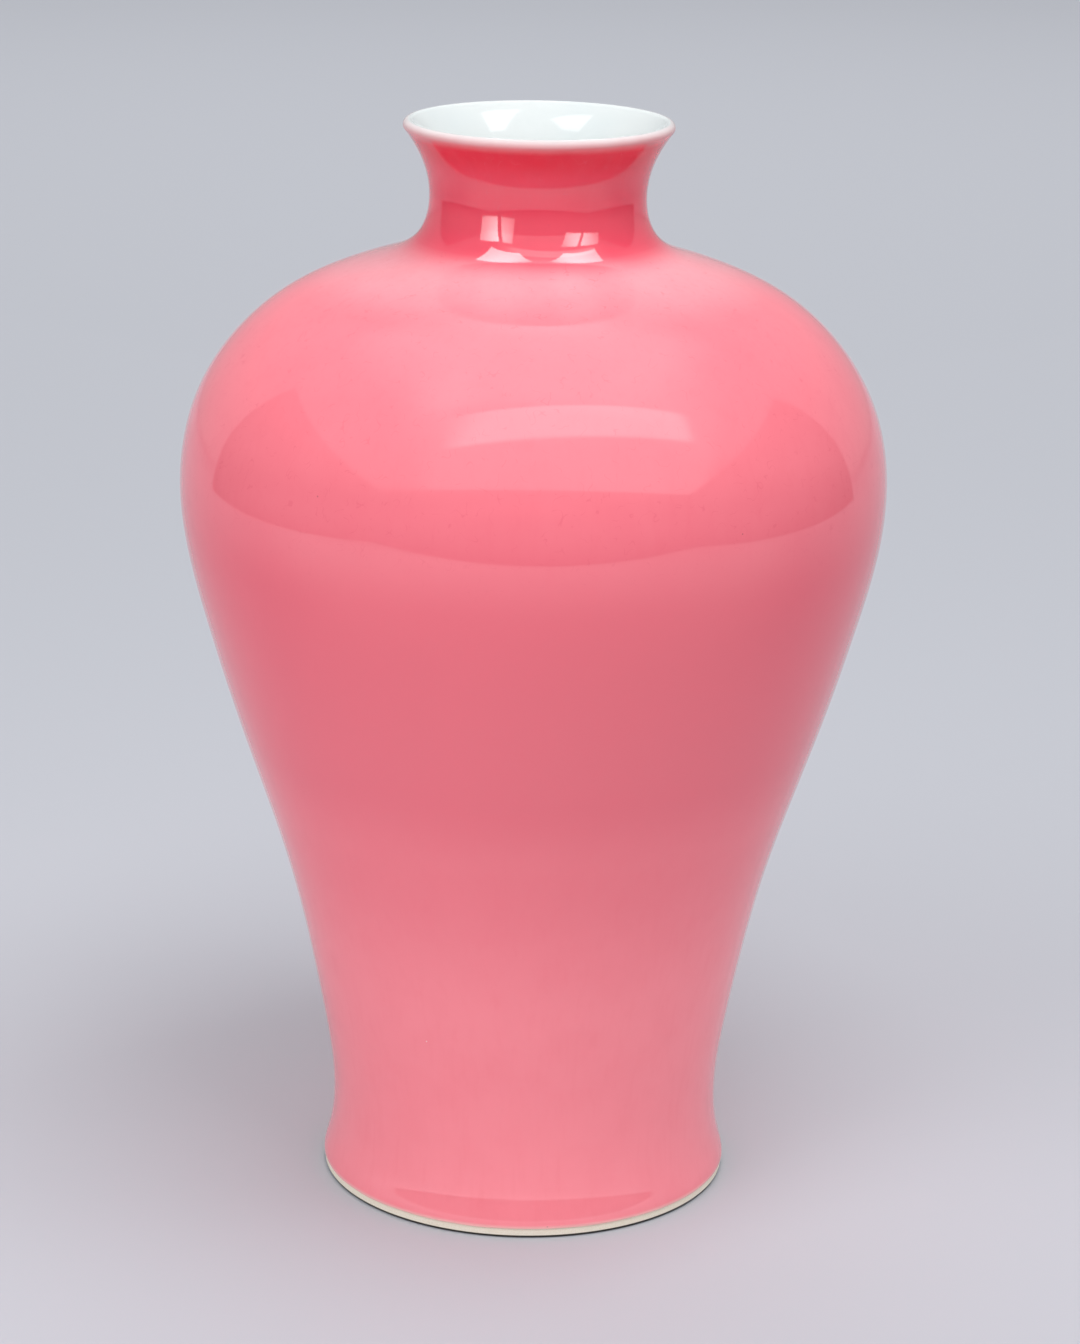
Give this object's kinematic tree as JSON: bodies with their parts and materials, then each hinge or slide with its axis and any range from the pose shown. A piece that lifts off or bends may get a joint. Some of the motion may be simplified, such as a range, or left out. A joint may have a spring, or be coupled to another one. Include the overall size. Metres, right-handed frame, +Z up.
{
  "type": "meiping vase",
  "caption": "Tall porcelain vase with a high rounded shoulder, short narrow neck and flared white lip, tapering to a slightly spread foot, glazed glossy coral pink, for flowers or display.",
  "frame": {"origin": "centre of the foot, on the surface that the vase stands on", "axes": "+Z up the axis of the vase, towards the mouth; X and Y lie across the foot"},
  "size_m": [0.2064, 0.2064, 0.32],
  "materials": {
    "bare_porcelain": "matte",
    "slip": "matte",
    "pink_glaze": "polished",
    "white_glaze": "polished"
  },
  "bodies": {
    "root": {"foot_ring": "bare_porcelain", "foot_joint": "slip", "base_disc": "bare_porcelain", "base_joint": "slip", "lower_body": "bare_porcelain", "body_joint": "slip", "upper_body": "bare_porcelain", "neck_joint": "slip", "neck": "bare_porcelain", "outer_glaze": "pink_glaze", "lining_glaze": "white_glaze", "base_glaze": "white_glaze"}
  },
  "joints": []
}
